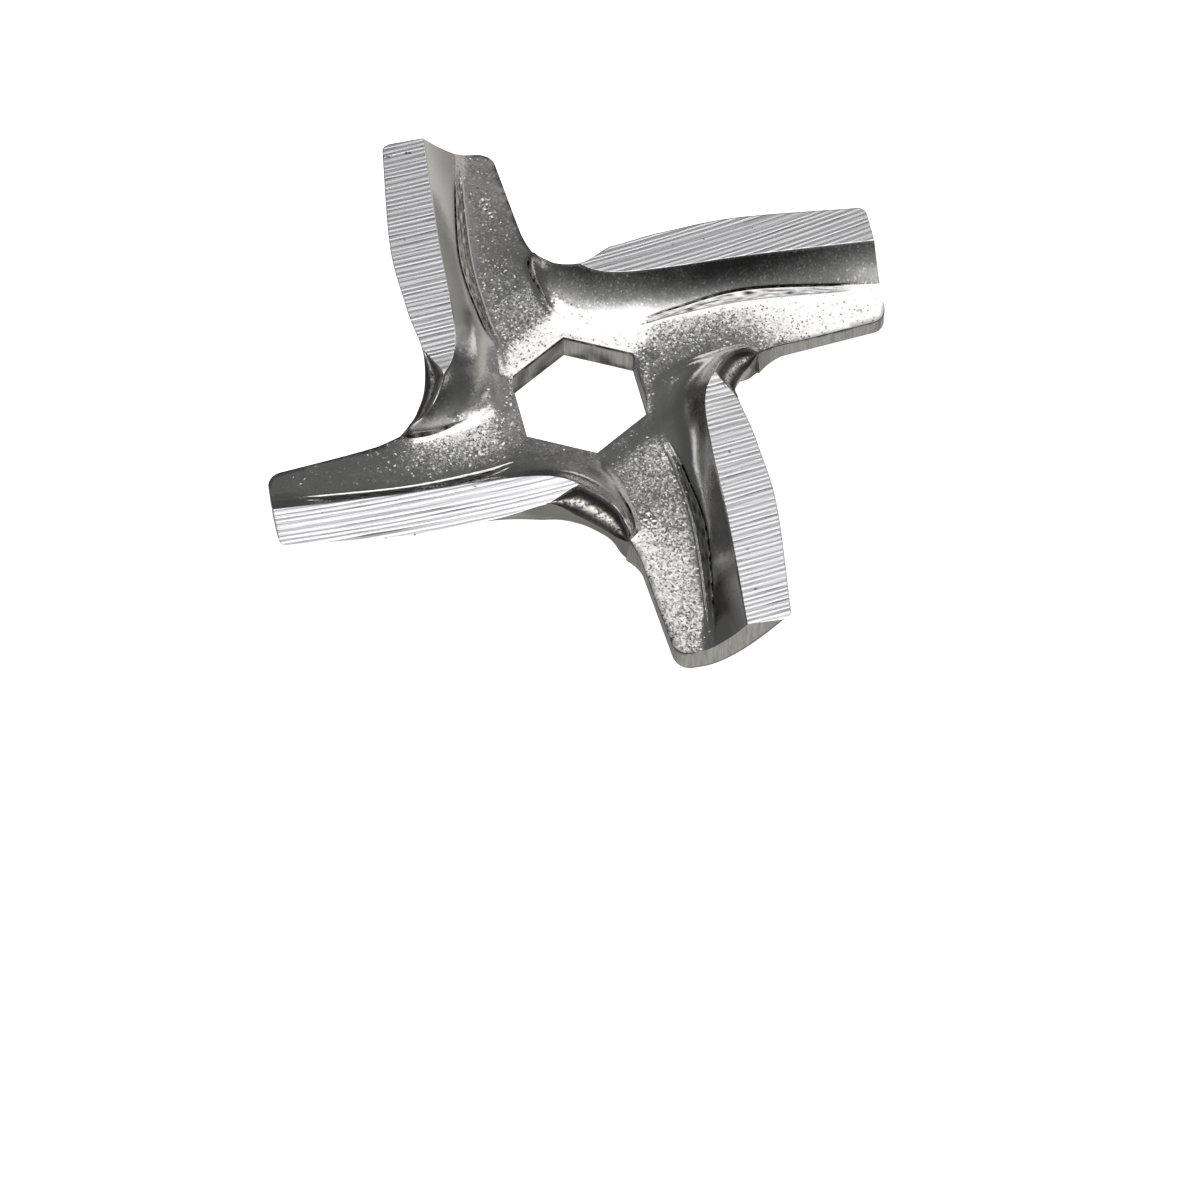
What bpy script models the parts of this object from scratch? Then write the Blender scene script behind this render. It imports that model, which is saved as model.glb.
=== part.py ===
# Knife of a small meat grinder: a four-armed star stamped from sheet steel.
# It is made here as the press makes it. The leading side of every arm is pressed
# up into a curved flange, the flanges are ground flat in one plane, which gives
# the cutting faces, and the driving hexagon is punched through the hub.
# The back lies on the plane z = 0 and the cutting faces look up.
#
# Sizes are in millimetres. On an arm, "along" is the distance from the centre and
# "across" is the distance from the arm's centre line, towards its leading side.

from math import atan, cos, hypot, pi, radians, sin, sqrt, tan

import bmesh
import bpy
from mathutils import Matrix, Vector

MM = 0.001

sheet_thickness = 2.0
cutting_height = 4.5
hexagon_flats = 8.2
arm_count = 4
arm_turn = radians(-3.1)  # from a flat of the hexagon to the centre line of an arm

# The outline of an arm: its tip and its plain trailing edge.
tip_reach = 21.0
trailing_edge_at_tip = 2.3
trailing_corner_radius = 1.1
straight_edge_start = (13.8, 1.5)
fillet_slope = radians(19)  # of the trailing edge where it leaves the flange of the arm behind
root_flare = 0.35  # there its foot stands out by this much
rolled_edge = 0.85  # shearing rolls over the edge on the back
rolled_edge_at_tip = 0.5
rolled_edge_at_root = 0.25

# The flange at three places on the arm: the bend's place across the arm, the width of
# the bend's softer band before it, the wall's run from the bend to the cutting face, and
# the face's width.
shoulder_along = 7.4
neck_along = 4.0
bend_at_tip = 4.75
bend_at_middle = 5.85
bend_at_shoulder = 5.4
bend_band_at_tip = 0.25
bend_band_at_middle = 0.7
bend_band_at_shoulder = 0.5
wall_run_at_tip = 2.2
wall_run_at_middle = 1.4
wall_run_at_shoulder = 1.9
cutting_face_at_tip = 2.7
cutting_face_at_middle = 3.2
cutting_face_at_shoulder = 2.9
underside_bend_inset = 0.65

# Slopes in degrees: the wall at the bend, the wall at the cutting face, and the
# underside at the outer edge.
slopes_at_tip = (22, 62, 54)
slopes_at_middle = (48, 68, 50)
slopes_at_shoulder = (30, 66, 66)
underside_first_slope = 2

# The root, where the flange turns round and runs out at the next arm's trailing edge.
# Every row holds (along, across) of the bend, of the sheared edge's upper and lower
# corners and of the bend on the back. "rise" is the upper corner's height over the
# sheet as a share of the flange's, "drop" is the sheared edge's height in sheets.
root_rows = [
    dict(bend=(neck_along, 4.8), upper=(3.8, 8.4), lower=(neck_along, 9.7), band=0.3,
         back=(neck_along, 6.0), rise=1.6, drop=0.72, slopes=(16, 62, 88)),
    dict(bend=(0.3, 5.6), upper=(1.6, 8.65), lower=(1.95, 9.92), band=0.3,
         back=(0.8, 6.8), rise=1.02, drop=0.85, slopes=(8, 58, 87)),
    dict(bend=(-1.3, 8.9), upper=(-0.35, 9.9), lower=(0.5, 10.7), band=0.2,
         back=(-0.55, 9.0), rise=0.6, drop=0.7, slopes=(40, 52, 86)),
    dict(bend=(-1.58, 11.1), upper=(-0.92, 11.15), lower=(-0.3, 11.4), band=0.2,
         back=(-0.45, 11.0), rise=0.36, drop=0.5, slopes=(60, 66, 84)),
    dict(bend=(-1.05, 12.05), upper=(-1.05, 12.05), lower=(-1.05, 12.05), band=0,
         back=(-0.95, 12.05), rise=0, drop=0, slopes=(60, 66, 84)),
]

# Above the grinding plane the pressed flange has this much left to grind away.
grinding_allowance = 0.6

# The press tools reach well past the steel.
wheel_span = 3 * tip_reach
wheel_depth = 8 * grinding_allowance
punch_depth = 3 * sheet_thickness

# How finely the form is divided.
rings_per_section = 6
steps_up_wall = 7
steps_round_corner = 4
steps_of_roll = 3
smallest_length = 0.02
knee_limits = (0.1, 0.96)  # how near a bent line's knee may come to its ends


def bend_band(bend, upper, band, wall_slope):
    # The bend is softened by a narrow band that rises half as steeply as the wall starts.
    rise = band * tan(radians(wall_slope) / 2)
    towards = Vector((upper[0] - bend[0], upper[1] - bend[1])).normalized() * band
    return dict(
        edge=Vector((bend[0] - towards.x, bend[1] - towards.y, sheet_thickness)),
        bend=Vector((*bend, sheet_thickness + rise)))


def arm_section(along, bend, band, wall_run, face, slopes):
    # A section of the arm: its wall passes the grinding plane at both edges of the face.
    inner = bend + wall_run
    outer = inner + face
    top_rise = 2 * grinding_allowance
    return dict(
        **bend_band((along, bend), (along, inner), band, slopes[0]),
        upper=Vector((along, inner + top_rise / tan(radians(slopes[1])),
                      cutting_height + top_rise)),
        lower=Vector((along, outer + grinding_allowance / tan(radians(slopes[2])),
                      cutting_height + grinding_allowance)),
        back=Vector((along, bend - underside_bend_inset, 0)),
        slopes=Vector(slopes))


def root_section(row):
    upper_height = sheet_thickness + row["rise"] * (cutting_height - sheet_thickness)
    lower_height = upper_height - row["drop"] * sheet_thickness
    return dict(
        **bend_band(row["bend"], row["upper"], row["band"], row["slopes"][0]),
        upper=Vector((*row["upper"], upper_height)),
        lower=Vector((*row["lower"], lower_height)),
        back=Vector((*row["back"], 0)),
        slopes=Vector(row["slopes"]))


def flange_sections():
    # From the tip of an arm to the trailing edge of the next one.
    middle_along = (tip_reach + neck_along) / 2
    arm = [
        arm_section(tip_reach, bend_at_tip, bend_band_at_tip, wall_run_at_tip,
                    cutting_face_at_tip, slopes_at_tip),
        arm_section(middle_along, bend_at_middle, bend_band_at_middle, wall_run_at_middle,
                    cutting_face_at_middle, slopes_at_middle),
        arm_section(shoulder_along, bend_at_shoulder, bend_band_at_shoulder,
                    wall_run_at_shoulder, cutting_face_at_shoulder, slopes_at_shoulder),
    ]
    return arm + [root_section(row) for row in root_rows]


def roll_steps(radius):
    # A rolled-over edge as pairs: how far inside the sheared face, how high over the back.
    turns = [pi / 2 * k / steps_of_roll for k in range(steps_of_roll + 1)]
    return [(radius * (1 - cos(turn)), radius * (1 - sin(turn))) for turn in turns]


def blend_sections(sections, steps):
    # A smooth row of sections through the given ones (Catmull-Rom curves). Close to the
    # tip more sections stand for the rolled edge, each with its lift over the back.
    def spline(p0, p1, p2, p3, u):
        return 0.5 * (2 * p1 + (p2 - p0) * u + (2 * p0 - 5 * p1 + 4 * p2 - p3) * u ** 2
                      + (3 * p1 - p0 - 3 * p2 + p3) * u ** 3)

    def beyond(end, inner):
        return {key: 2 * end[key] - inner[key] for key in end}

    def between(near, u):
        return {key: spline(*(knot[key] for knot in near), u) for key in near[1]}

    knots = [beyond(sections[0], sections[1]), *sections, beyond(sections[-1], sections[-2])]
    first_gap = sections[0]["bend"].x - sections[1]["bend"].x
    row = []
    for inside, lift in roll_steps(rolled_edge_at_tip):
        section = between(knots[:4], inside / first_gap)
        for key in ("edge", "bend", "upper", "lower", "back"):
            section[key].x = tip_reach - inside
        row.append((section, lift))
    for i in range(1, len(knots) - 2):
        first = 1 if i == 1 else 0
        for k in range(first, steps):
            row.append((between(knots[i - 1:i + 3], k / steps), 0))
    row.append((sections[-1], 0))
    return row


def bent_line(start, end, first_slope, last_slope, steps):
    # A curve of one bend between two points, leaving and arriving at given slopes.
    run = hypot(end.x - start.x, end.y - start.y)
    rise = end.z - start.z
    if run < smallest_length:
        return [start.lerp(end, k / steps) for k in range(steps + 1)]
    slope_in = tan(radians(first_slope))
    slope_out = max(tan(radians(last_slope)), slope_in + smallest_length)
    meet = (run * slope_out - rise) / (slope_out - slope_in)
    meet = min(max(meet, knee_limits[0] * run), knee_limits[1] * run)
    knee = start.lerp(end, meet / run)
    knee.z = start.z + meet * slope_in
    line = []
    for k in range(steps + 1):
        u = k / steps
        line.append((1 - u) ** 2 * start + 2 * u * (1 - u) * knee + u ** 2 * end)
    return line


def lifted(line, lift):
    # The underside moved into the sheet, as the rolled edge at the tip has it.
    moved = []
    for k, point in enumerate(line):
        ahead = line[min(k + 1, len(line) - 1)] - line[max(k - 1, 0)]
        normal = Vector((0, -ahead.z, ahead.y)).normalized() if k else Vector((0, 0, 1))
        moved.append(point + lift * normal)
    return moved


def section_points(section, lift):
    # The section's outline, from the flat up the wall, over the edge and back below.
    first, wall, below = section["slopes"]
    wall_line = bent_line(section["bend"], section["upper"], first, wall, steps_up_wall)
    below_line = bent_line(section["back"], section["lower"], underside_first_slope, below,
                           steps_up_wall)
    return [section["edge"]] + wall_line + lifted(below_line, lift)[::-1]


def trailing_outline():
    # The plain edge of an arm from its root to the tip: point, inward, roll and flare.
    root_along, root_across = root_rows[-1]["bend"]
    root = Vector((root_across, -root_along))
    start = Vector(straight_edge_start)
    tip = Vector((tip_reach, trailing_edge_at_tip))
    lean = atan((tip.y - start.y) / (tip.x - start.x))
    radius = trailing_corner_radius
    centre = Vector((tip.x - radius, tip.y + radius * (1 / cos(lean) - tan(lean))))
    straight = Vector((cos(lean), sin(lean)))
    inward = Vector((-sin(lean), cos(lean)))
    knee = root + (start - root).length / 2 * Vector((cos(fillet_slope), sin(fillet_slope)))
    line = []
    for k in range(steps_round_corner):
        u = k / steps_round_corner
        point = (1 - u) ** 2 * root + 2 * u * (1 - u) * knee + u ** 2 * start
        roll = rolled_edge_at_root + (rolled_edge - rolled_edge_at_root) * u
        line.append((point, inward, roll, root_flare * (1 - u) ** 2))
    reach = (centre - radius * inward - start).dot(straight)
    for k in range(steps_round_corner):
        line.append((start + reach * k / steps_round_corner * straight, inward, rolled_edge, 0))
    for k in range(2 * steps_round_corner + 1):
        u = k / (2 * steps_round_corner)
        angle = (lean - pi / 2) * (1 - u)
        outward = Vector((cos(angle), sin(angle)))
        roll = rolled_edge + (rolled_edge_at_tip - rolled_edge) * u
        line.append((centre + radius * outward, -outward, roll, 0))
    return line


def outline_column(point, inward, roll, flare):
    # The sheared edge at one place of the outline, from the upper side round to the back.
    column = [Vector((*point, sheet_thickness))]
    for inside, height in roll_steps(roll):
        out = flare * (1 - height / sheet_thickness)
        column.append(Vector((*(point + (inside - out) * inward), height)))
    return column


def run_out_ring(column, below_count, count):
    # The flange's last ring lies on the first column of the next arm's edge, which is a
    # quarter turn ahead: its upper part is one point and its underside is the column.
    points = [Vector((-point.y, point.x, point.z)) for point in column]
    last = len(points) - 1
    below = [points[round(k * last / (below_count - 1))] for k in range(below_count)]
    return [points[0]] * (count - below_count) + below


def make_blank():
    # The pressed star before grinding and punching, as one closed mesh.
    mesh = bmesh.new()
    rings = [section_points(*ring) for ring in blend_sections(flange_sections(), rings_per_section)]
    columns = [outline_column(*place) for place in trailing_outline()]
    rings[-1] = run_out_ring(columns[0], steps_up_wall + 1, len(rings[0]))
    rims = []
    for arm in range(arm_count):
        turn = Matrix.Rotation(arm_turn + 2 * pi * arm / arm_count, 3, "Z")

        def vertices(points):
            return [mesh.verts.new(turn @ point * MM) for point in points]

        edge = [vertices(column) for column in columns]
        flange = [vertices(ring) for ring in rings]
        for grid in (edge, flange):
            for line, next_line in zip(grid, grid[1:]):
                for k in range(len(line) - 1):
                    mesh.faces.new((line[k], line[k + 1], next_line[k + 1], next_line[k]))
        # The end face at the tip, and the rolled edge that closes it to the back.
        mesh.faces.new([edge[-1][1], edge[-1][0], *flange[0]])
        for k in range(steps_of_roll):
            mesh.faces.new((edge[-1][k + 1], edge[-1][k + 2], flange[k + 1][-1], flange[k][-1]))
        rims.append((edge, flange))
    top_loop = []
    back_loop = []
    for edge, flange in rims:
        top_loop += [column[0] for column in edge] + [ring[0] for ring in flange]
        back_loop += [column[-1] for column in edge]
        back_loop += [ring[-1] for ring in flange[steps_of_roll:]]
    mesh.faces.new(top_loop)
    mesh.faces.new(back_loop[::-1])
    bmesh.ops.remove_doubles(mesh, verts=mesh.verts, dist=smallest_length * MM)
    bmesh.ops.recalc_face_normals(mesh, faces=mesh.faces)
    data = bpy.data.meshes.new("grinder_knife")
    mesh.to_mesh(data)
    mesh.free()
    return data


def make_collection(name):
    collection = bpy.data.collections.new(name)
    bpy.context.scene.collection.children.link(collection)
    return collection


def steel():
    material = bpy.data.materials.new("bright_pickled_steel")
    material.use_nodes = True
    shader = material.node_tree.nodes["Principled BSDF"]
    shader.inputs["Base Color"].default_value = (0.60, 0.59, 0.57, 1)
    shader.inputs["Metallic"].default_value = 1.0
    shader.inputs["Roughness"].default_value = 0.3
    return material


def make_tool(name, collection):
    # A tool's solid, hidden: it only cuts.
    data = bpy.data.meshes.new(name)
    tool = bpy.data.objects.new(name, data)
    tool.hide_render = True
    tool.display_type = "WIRE"
    collection.objects.link(tool)
    return tool


def make_grinding_wheel(collection):
    tool = make_tool("grinding_wheel", collection)
    mesh = bmesh.new()
    span = wheel_span * MM
    depth = wheel_depth * MM
    lift = Matrix.Translation((0, 0, cutting_height * MM + depth / 2))
    bmesh.ops.create_cube(mesh, size=1, matrix=lift @ Matrix.Diagonal((span, span, depth, 1)))
    mesh.to_mesh(tool.data)
    mesh.free()
    return tool


def make_hexagon_punch(collection):
    # Two corners of the hexagon lie on the Y axis.
    tool = make_tool("hexagon_punch", collection)
    mesh = bmesh.new()
    radius = hexagon_flats / sqrt(3) * MM
    place = Matrix.Translation((0, 0, sheet_thickness / 2 * MM))
    bmesh.ops.create_cone(mesh, cap_ends=True, segments=6, radius1=radius, radius2=radius,
                          depth=punch_depth * MM, matrix=place)
    mesh.to_mesh(tool.data)
    mesh.free()
    return tool


def cut(piece, tool):
    step = piece.modifiers.new(tool.name, "BOOLEAN")
    step.operation = "DIFFERENCE"
    step.solver = "EXACT"
    step.object = tool


def main():
    for thing in list(bpy.data.objects):
        bpy.data.objects.remove(thing)
    knife_collection = make_collection("meat_grinder_knife")
    tool_collection = make_collection("press_tools")
    knife = bpy.data.objects.new("grinder_knife", make_blank())
    knife.data.materials.append(steel())
    knife_collection.objects.link(knife)
    cut(knife, make_grinding_wheel(tool_collection))
    cut(knife, make_hexagon_punch(tool_collection))


main()
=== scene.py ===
# A stamped steel star knife of a small meat grinder, lying on its back.
# The shape is drawn in millimetres and brought to metres at the end.
import math
from types import SimpleNamespace

import bmesh
import bpy
import numpy as np
from mathutils import Euler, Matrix, Vector, geometry, noise


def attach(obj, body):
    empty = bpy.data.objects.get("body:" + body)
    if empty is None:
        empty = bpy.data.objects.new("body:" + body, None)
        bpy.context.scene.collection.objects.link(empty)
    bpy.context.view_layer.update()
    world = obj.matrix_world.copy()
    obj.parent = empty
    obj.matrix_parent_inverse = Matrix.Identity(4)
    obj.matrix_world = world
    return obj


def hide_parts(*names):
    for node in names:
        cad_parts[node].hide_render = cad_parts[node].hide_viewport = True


mm = 0.001

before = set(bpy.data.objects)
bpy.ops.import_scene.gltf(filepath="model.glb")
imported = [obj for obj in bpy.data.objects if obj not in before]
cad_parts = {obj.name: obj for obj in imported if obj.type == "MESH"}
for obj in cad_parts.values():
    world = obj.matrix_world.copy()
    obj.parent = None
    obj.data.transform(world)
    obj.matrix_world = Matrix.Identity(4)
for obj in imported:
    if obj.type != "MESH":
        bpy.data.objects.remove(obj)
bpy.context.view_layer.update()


def linearFromHex(code):
    # sRGB hex colour to linear
    parts = [int(code[i:i + 2], 16) / 255 for i in (1, 3, 5)]
    return [p / 12.92 if p <= 0.04045 else ((p + 0.055) / 1.055) ** 2.4 for p in parts] + [1.0]


def addNode(tree, kind, settings=None, inputs=None, links=None):
    # adds a node, sets its properties and sockets, and links other nodes' outputs to it
    node = tree.nodes.new(kind)
    for name, value in (settings or {}).items():
        setattr(node, name, value)
    for name, value in (inputs or {}).items():
        node.inputs[name].default_value = value
    for name, source in (links or {}).items():
        tree.links.new(source, node.inputs[name])
    return node


print("camera")
camera = {
    "lookAt": (-2.52, -15.96, 2.25),  # mm, as the distance
    "distance": 282.6,
    "azimuth": -102.42,  # degrees from +X to where the camera stands
    "elevation": 57.13,
    "roll": -1.37,
    "lens": 134.3,
    "sensor": 36,
    "clip": (0.01, 20),  # metres
}


def makeCamera():
    turn, lift = math.radians(camera["azimuth"]), math.radians(camera["elevation"])
    away = Vector((math.cos(lift) * math.cos(turn), math.cos(lift) * math.sin(turn), math.sin(lift)))
    data = bpy.data.cameras.new("camera")
    data.lens = camera["lens"]
    data.sensor_width = camera["sensor"]
    data.clip_start, data.clip_end = camera["clip"]
    holder = bpy.data.objects.new("camera", data)
    bpy.context.scene.collection.objects.link(holder)
    holder.location = (Vector(camera["lookAt"]) + away * camera["distance"]) * mm
    look = (-away).to_track_quat("-Z", "Y").to_matrix()
    roll = Euler((0, 0, math.radians(camera["roll"]))).to_matrix()
    holder.rotation_euler = (look @ roll).to_euler()
    bpy.context.scene.camera = holder


makeCamera()

print("knife shape")
# x runs out along an arm and y across it, both from the middle of the hole
knife = {
    "sheet": 2.0,
    "height": 4.5,
    "hexagonFlats": 8.2,
    "armTurn": -3.1,  # degrees from a flat of the hexagon to the first arm
    "tipReach": 20.999,
    # the plain edge of each arm
    "trailingRoot": (12.05, 1.05),
    "straightStart": (13.8, 1.5),
    "trailingAtTip": 2.3,
    "trailingCorner": 1.1,
    "filletSlope": 19,  # degrees
    "rootFlare": 0.35,
    "burr": 0.02,  # least, and what the ragged places have more
    "burrRagged": 0.05,
    "holeRimShade": (1.8, 1.99),  # from which height to which painted shade darkens the hexagon's wall under its rim
    # the edge that shearing rolls over at the back
    "rolledEdge": 0.85,
    "rolledAtTip": 0.5,
    "rolledAtRoot": 0.25,
    "backInside": 0.65,  # how far inside the bend the underside starts to rise
    "backSlope": 2,  # degrees, where it does
    # the flats: one value or pair for each arm
    "flatFall": (0.3, 0.25, 0.3, 0.04),  # towards the trailing edge at the tip
    "flatBow": ((0, 0), (-0.05, -0.06), (0, 0), (0.09, -0.05)),  # rise from root to middle, middle to tip
    "flatLift": 0.19,  # all rise a little towards the flanges
    "liftReach": 2.5,
    "waviness": 0.012,
    # the bend, where the tool's edge is pressed in along the middle of each arm
    "edgeStep": 0.06,
    "stepWidth": 0.08,
    "edgeLip": 0.045,  # a fine lip raised beside it
    "lipWidth": 0.07,
    "stripWidth": 0.12,
    "softStripWidth": 0.45,  # more where no crease is pressed
    "stripBurnish": 0.12,
    "bandBurnish": 0.15,
    "softBurnish": 0.5,
    "rootCrease": (1, 1, 1, 0.25),  # how sharp the crease is at the root of each flange
    "rootX": 3,  # the root is below this x
    "grooveDepth": 0.12,
    "grooveWidth": 0.14,
    "rootGrooveWidth": 0.10,  # more at the root
    "grooveShadeReach": 0.08,  # how far the groove's painted shade reaches up the wall
    # the wall and the ground face
    "wallLiftReach": 0.8,  # how far up the wall the flat's lift is felt over a crease
    "softLiftReach": 0.9,  # and over a soft bend
    "troughPolish": (0.6, 0.97, 0.9, 0.97),  # how smooth the tool left each arm's trough
    "rootDullness": 0.35,
    "footDullness": 0.15,
    "footRun": 0.8,  # from the wall's foot to its full polish
    "grindLeft": 0.6,
    "groundFall": (0.04, 0.08, 0.11, 0.13),  # relief of each ground face at its outer edge
    "leastGround": 0.1,  # a narrower ground face has run out
    "cornerWear": 0.035,
    "innerWear": 0.4,  # shares of it at the inner corner, and where the ground face has run out
    "plainWear": 3.5,
    "tearDepth": 0.03,  # least, and what the ragged places have more
    "tearRagged": 0.07,
    "shearedHollow": 0.05,  # at the root
}
# how fine the uneven places are, per mm
fineness = {"lip": 2.4, "drag": 1.5, "dirt": 2.6, "tear": 3.1, "burr": 2.3, "holeRimShade": 1.7,
            "holeBlotch": 0.9, "wave": 0.45}
# from where to where features come or go, in mm along x or y
ranges = {
    "creaseGrowsX": (4.4, 7.2),
    "creaseEndsX": (17.4, 20.2),
    "rootCreaseGrowsY": (7.4, 9.0),
    "rootCreaseEndsY": (11.4, 12.0),
    "softStripEndsY": (8, 9.5),
    "stripEndsY": (11.2, 12.0),
    "softBurnishEndsY": (7.5, 9.0),
    "softBurnishEndsX": (8, 16),
    "polishGrowsX": (3, 7),
    "tornEndsX": (5, 7),
    "streakEndsY": (10.6, 11.6),
    "fallX": (8.0, 16.0),
    "bowInnerX": (6.5, 13.5),
    "bowOuterX": (13.5, 21.0),
    "liftFromHole": (-0.1, 1.9),
}

# along, bend, band, wall run, face width, slopes: wall at the bend and at the face, underside
armRows = [
    (21.0, 4.75, 0.25, 2.2, 2.7, (45, 62, 54)),
    (12.5, 5.85, 0.7, 1.4, 3.2, (48, 68, 50)),
    (7.4, 5.4, 0.5, 1.9, 2.9, (30, 66, 66)),
]
# the root: bend, band, upper and lower corner of the sheared edge with heights, back, slopes
rootRows = [
    ((4.0, 4.8), 0.3, (3.8, 8.4, 6.0), (4.0, 9.7, 4.56), (4.0, 6.0), (16, 62, 88)),
    ((0.3, 5.6), 0.3, (1.6, 8.65, 4.55), (1.95, 9.92, 2.85), (0.8, 6.8), (8, 58, 87)),
    ((-1.3, 8.9), 0.2, (-0.35, 9.9, 3.5), (0.5, 10.7, 2.1), (-0.55, 9.0), (40, 52, 86)),
    ((-1.58, 11.1), 0.2, (-0.92, 11.15, 2.9), (-0.3, 11.4, 1.9), (-0.45, 11.0), (60, 66, 84)),
    ((-1.05, 12.05), 0.0, (-1.05, 12.05, 2.0), (-1.05, 12.05, 2.0), (-0.95, 12.05), (60, 66, 84)),
]
ringsPerGap = [44, 30, 22, 26, 26, 18, 12]  # between the rows above, from the tip to the root
rollSteps = 7
sideSteps = 7
filletSteps, straightSteps, cornerSteps = 16, 52, 18
hexagonSteps = 14
curve = np.linspace(0, 1, 161)
parts = {"strip": 6, "band": 9, "groove": 5, "wall": 26, "ground": 9, "sheared": 14, "under": 20}
bandCrowding, wallCrowding, shearedCrowding = 1.3, 1.15, 1.25  # points lie closer where each part starts
flatGrid, dentGrid, backGrid = 0.4, 0.06, 1.2  # between the points inside the flats, dents and back
mergeGap, leastEdge, sharpAngle = 0.006, 0.002, 35
# painted shade down the sheared edge from 0 to 1: how much darker it is, none along the torn streak
shearedGrime = [(0, 0), (0.08, 0), (0.14, 0.7), (0.42, 0.55), (0.5, 0), (0.66, 0), (0.74, 0.7), (0.95, 0.7),
                (1, 0.2)]
streakMiddle, streakWidth = 0.58, 0.16


def smooth(x, low, high):
    t = np.clip((x - low) / (high - low), 0, 1)
    return t * t * (3 - 2 * t)


def fade(x, low, high):
    return 1 - smooth(x, low, high)


def ragged(mean, swing, x, y, z):
    # a value that wanders about its mean from place to place
    return mean + swing * noise.noise(Vector((x, y, z)))


def knifeKnots():
    knots = []

    def knot(bend, band, upper, lower, back, slopes):
        way = Vector((upper[0] - bend[0], upper[1] - bend[1])).normalized() * band
        rise = band * math.tan(math.radians(slopes[0] / 2))
        knots.append((bend[0] - way.x, bend[1] - way.y, *bend, knife["sheet"] + rise,
                      *upper, *lower, *back, *slopes))

    for along, bend, band, run, face, slopes in armRows:
        inner, outer = bend + run, bend + run + face
        rise = 2 * knife["grindLeft"]
        knot((along, bend), band,
             (along, inner + rise / math.tan(math.radians(slopes[1])), knife["height"] + rise),
             (along, outer + rise / 2 / math.tan(math.radians(slopes[2])), knife["height"] + rise / 2),
             (along, bend - knife["backInside"]), slopes)
    for row in rootRows:
        knot(*row)
    return np.array(knots, float)


def splineRows(knots):
    # Catmull-Rom rows through the knots; near the tip extra rows for the rolled edge
    full = np.vstack([2 * knots[0] - knots[1], knots, 2 * knots[-1] - knots[-2]])

    def at(i, u):
        p0, p1, p2, p3 = full[i - 1:i + 3]
        return 0.5 * (2 * p1 + (p2 - p0) * u + (2 * p0 - 5 * p1 + 4 * p2 - p3) * u ** 2
                      + (3 * p1 - p0 - 3 * p2 + p3) * u ** 3)

    rows, lifts = [], []
    gap = knots[0][0] - knots[1][0]
    for k in range(rollSteps + 1):
        turn = math.pi / 2 * k / rollSteps
        inside = knife["rolledAtTip"] * (1 - math.cos(turn))
        row = at(1, inside / gap)
        row[[0, 2, 5, 8, 11]] = knife["tipReach"] - inside  # every x in the row
        rows.append(row)
        lifts.append(knife["rolledAtTip"] * (1 - math.sin(turn)))
    for i, count in enumerate(ringsPerGap, 1):
        for k in range(count):
            u = k / count
            if i > 1 or u * gap > 1.05 * knife["rolledAtTip"]:
                rows.append(at(i, u))
                lifts.append(0)
    rows.append(knots[-1])
    lifts.append(0)
    return np.array(rows), np.array(lifts)


def bentLine(run, rise, slopeIn, slopeOut, u):
    # a curve of one bend in its own plane: distance and height at u
    a, b = math.tan(math.radians(slopeIn)), math.tan(math.radians(slopeOut))
    b = max(b, a + 0.001)
    meet = min(max((run * b - rise) / (b - a), 0.1 * run), 0.96 * run)
    return 2 * u * (1 - u) * meet + u * u * run, 2 * u * (1 - u) * meet * a + u * u * rise


def rounded(first, corner, second, reach):
    # three points in place of a corner: worn round by a few hundredths
    a, b = first - corner, second - corner
    a = corner + a / max(np.linalg.norm(a), 1e-9) * min(reach, 0.4 * np.linalg.norm(a))
    b = corner + b / max(np.linalg.norm(b), 1e-9) * min(reach, 0.4 * np.linalg.norm(b))
    return a, (a + b) / 4 + corner / 2, b


class Ring:
    # one section's points, each with marks: share of the flats' rise and fall, burnish, grime and painted
    # shade, tear
    # a negative share is one beyond the flat's edge
    def __init__(self):
        self.points, self.marks = [], []

    def put(self, x, y, z, share=0.0, burnish=0.0, grime=0.0, tear=0.0):
        self.points.append((x, y, z))
        self.marks.append((share, burnish, grime, tear))


def sectionOf(row, arm):
    # what one section across a flange is drawn from
    s = SimpleNamespace(arm=arm, edge=row[0:2], bend=row[2:5], upper=row[5:8], lower=row[8:11],
                        back=row[11:13], slopes=row[13:16])
    x, y = s.bend[:2]
    s.run = max(math.hypot(*(s.upper[:2] - s.bend[:2])), 1e-6)
    s.way = (s.upper[:2] - s.bend[:2]) / s.run if s.run > 0.02 else np.array([0.0, 1.0])
    s.crease = smooth(x, *ranges["creaseGrowsX"]) * fade(x, *ranges["creaseEndsX"])
    s.riser = smooth(y, *ranges["rootCreaseGrowsY"]) * (x < knife["rootX"]) * knife["rootCrease"][arm]
    s.grooved = max(s.crease ** 2, s.riser * fade(y, *ranges["rootCreaseEndsY"]))
    s.width = (knife["softStripWidth"] * (1 - s.crease) * fade(y, *ranges["softStripEndsY"])
               + knife["stripWidth"]) * fade(y, *ranges["stripEndsY"])
    s.soft = s.width * math.tan(math.radians(s.slopes[0] / 2)) / 2 * (1 - s.crease)
    s.lip = knife["edgeLip"] * s.crease * ragged(0.85, 0.8, x * fineness["lip"], arm * 5.0, 0)
    s.shine = (knife["softBurnish"] * (1 - s.crease) * fade(y, *ranges["softBurnishEndsY"])
               * fade(x, *ranges["softBurnishEndsX"]))
    s.polish = knife["troughPolish"][arm] * (1 - knife["rootDullness"] * fade(x, *ranges["polishGrowsX"]))
    return s


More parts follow.
